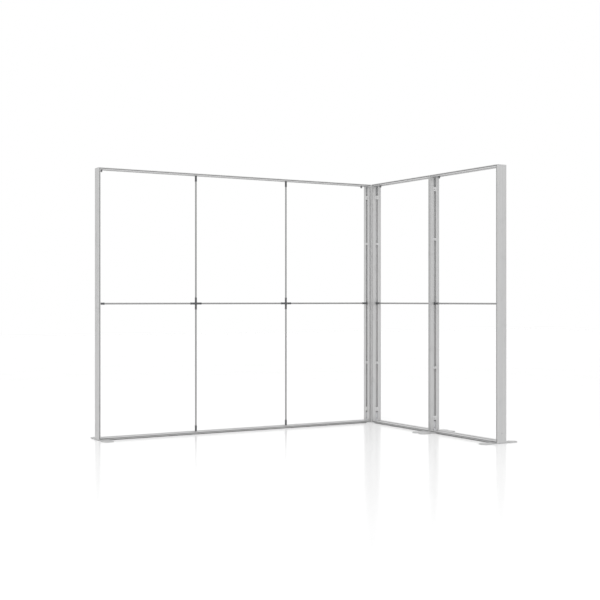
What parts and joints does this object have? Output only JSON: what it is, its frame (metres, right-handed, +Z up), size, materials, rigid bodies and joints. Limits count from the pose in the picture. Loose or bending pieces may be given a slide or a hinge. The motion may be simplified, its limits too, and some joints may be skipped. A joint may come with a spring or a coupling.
{
  "type": "modular exhibition stand",
  "caption": "Freestanding L-shaped exhibition wall of slotted aluminium frames with stabiliser tubes, joined by quarter-turn locks and standing on flat foot plates.",
  "frame": {"origin": "on the floor, at the middle of the stand's outer box", "axes": "+X along the back frame towards the corner, +Y away from the viewer, +Z up"},
  "size_m": [3.263, 2.279, 2.506],
  "materials": {
    "profile_aluminium": "satin anodised",
    "cap_plastic": "fine textured",
    "foot_paint": "fine textured powder coat",
    "dark_bracket": "satin dark grey coat",
    "zinc_bracket": "bright zinc",
    "tube_aluminium": "satin anodised",
    "sleeve_plastic": "moulded",
    "thumb_plastic": "moulded",
    "fastener_steel": "zinc plated",
    "lock_plate": "satin",
    "lock_metal": "die cast, satin"
  },
  "bodies": {
    "stand": {"back_bottom_brackets": "zinc_bracket", "back_bottom_rail": "profile_aluminium", "back_left_cross_connector": "sleeve_plastic", "back_left_foot_plate": "foot_paint", "back_left_level_tube": "tube_aluminium", "back_left_lower_tube": "tube_aluminium", "back_left_post": "profile_aluminium", "back_left_upper_tube": "tube_aluminium", "back_middle_level_tube": "tube_aluminium", "back_right_cross_connector": "sleeve_plastic", "back_right_level_tube": "tube_aluminium", "back_right_lower_tube": "tube_aluminium", "back_right_post": "profile_aluminium", "back_right_post_lock_plates": "lock_plate", "back_right_upper_tube": "tube_aluminium", "back_top_brackets": "dark_bracket", "back_top_rail": "profile_aluminium", "back_tube_sockets": "sleeve_plastic", "bracket_set_screws": "fastener_steel", "bracket_thumb_screws": "thumb_plastic", "corner_base_cap": "cap_plastic", "corner_base_plate": "foot_paint", "corner_post": "profile_aluminium", "corner_top_cap": "cap_plastic", "foot_screws": "fastener_steel", "front_side_back_foot_plate": "foot_paint", "front_side_back_post": "profile_aluminium", "front_side_back_post_lock_plates": "lock_plate", "front_side_bottom_brackets": "zinc_bracket", "front_side_bottom_rail": "profile_aluminium", "front_side_front_foot_plate": "foot_paint", "front_side_front_post": "profile_aluminium", "front_side_level_tube": "tube_aluminium", "front_side_top_brackets": "dark_bracket", "front_side_top_rail": "profile_aluminium", "front_side_tube_sockets": "sleeve_plastic", "rear_side_back_post": "profile_aluminium", "rear_side_back_post_lock_plates": "lock_plate", "rear_side_bottom_brackets": "zinc_bracket", "rear_side_bottom_rail": "profile_aluminium", "rear_side_front_foot_plate": "foot_paint", "rear_side_front_post": "profile_aluminium", "rear_side_level_tube": "tube_aluminium", "rear_side_top_brackets": "dark_bracket", "rear_side_top_rail": "profile_aluminium", "rear_side_tube_sockets": "sleeve_plastic"},
    "back_lowest_lock": {"back_lowest_lock": "lock_metal"},
    "back_lower_lock": {"back_lower_lock": "lock_metal"},
    "back_upper_lock": {"back_upper_lock": "lock_metal"},
    "back_highest_lock": {"back_highest_lock": "lock_metal"},
    "rear_side_lowest_lock": {"rear_side_lowest_lock": "lock_metal"},
    "rear_side_lower_lock": {"rear_side_lower_lock": "lock_metal"},
    "rear_side_upper_lock": {"rear_side_upper_lock": "lock_metal"},
    "rear_side_highest_lock": {"rear_side_highest_lock": "lock_metal"},
    "front_side_lowest_lock": {"front_side_lowest_lock": "lock_metal"},
    "front_side_lower_lock": {"front_side_lower_lock": "lock_metal"},
    "front_side_upper_lock": {"front_side_upper_lock": "lock_metal"},
    "front_side_highest_lock": {"front_side_highest_lock": "lock_metal"}
  },
  "joints": [
    {"name": "back_lowest_lock_turn", "type": "hinge", "parent": "stand", "child": "back_lowest_lock", "pos_m": [1.3515, 0.9295, 0.142], "axis": [-1, 0, 0], "range_deg": [0, 90]},
    {"name": "back_lower_lock_turn", "type": "hinge", "parent": "stand", "child": "back_lower_lock", "pos_m": [1.3515, 0.9295, 0.631], "axis": [-1, 0, 0], "range_deg": [0, 90]},
    {"name": "back_upper_lock_turn", "type": "hinge", "parent": "stand", "child": "back_upper_lock", "pos_m": [1.3515, 0.9295, 1.881], "axis": [-1, 0, 0], "range_deg": [0, 90]},
    {"name": "back_highest_lock_turn", "type": "hinge", "parent": "stand", "child": "back_highest_lock", "pos_m": [1.3515, 0.9295, 2.37], "axis": [-1, 0, 0], "range_deg": [0, 90]},
    {"name": "rear_side_lowest_lock_turn", "type": "hinge", "parent": "stand", "child": "rear_side_lowest_lock", "pos_m": [1.4215, 0.8435, 0.142], "axis": [0, -1, 0], "range_deg": [0, 90]},
    {"name": "rear_side_lower_lock_turn", "type": "hinge", "parent": "stand", "child": "rear_side_lower_lock", "pos_m": [1.4215, 0.8435, 0.631], "axis": [0, -1, 0], "range_deg": [0, 90]},
    {"name": "rear_side_upper_lock_turn", "type": "hinge", "parent": "stand", "child": "rear_side_upper_lock", "pos_m": [1.4215, 0.8435, 1.881], "axis": [0, -1, 0], "range_deg": [0, 90]},
    {"name": "rear_side_highest_lock_turn", "type": "hinge", "parent": "stand", "child": "rear_side_highest_lock", "pos_m": [1.4215, 0.8435, 2.37], "axis": [0, -1, 0], "range_deg": [0, 90]},
    {"name": "front_side_lowest_lock_turn", "type": "hinge", "parent": "stand", "child": "front_side_lowest_lock", "pos_m": [1.4215, -0.1565, 0.142], "axis": [0, -1, 0], "range_deg": [0, 90]},
    {"name": "front_side_lower_lock_turn", "type": "hinge", "parent": "stand", "child": "front_side_lower_lock", "pos_m": [1.4215, -0.1565, 0.631], "axis": [0, -1, 0], "range_deg": [0, 90]},
    {"name": "front_side_upper_lock_turn", "type": "hinge", "parent": "stand", "child": "front_side_upper_lock", "pos_m": [1.4215, -0.1565, 1.881], "axis": [0, -1, 0], "range_deg": [0, 90]},
    {"name": "front_side_highest_lock_turn", "type": "hinge", "parent": "stand", "child": "front_side_highest_lock", "pos_m": [1.4215, -0.1565, 2.37], "axis": [0, -1, 0], "range_deg": [0, 90]}
  ]
}
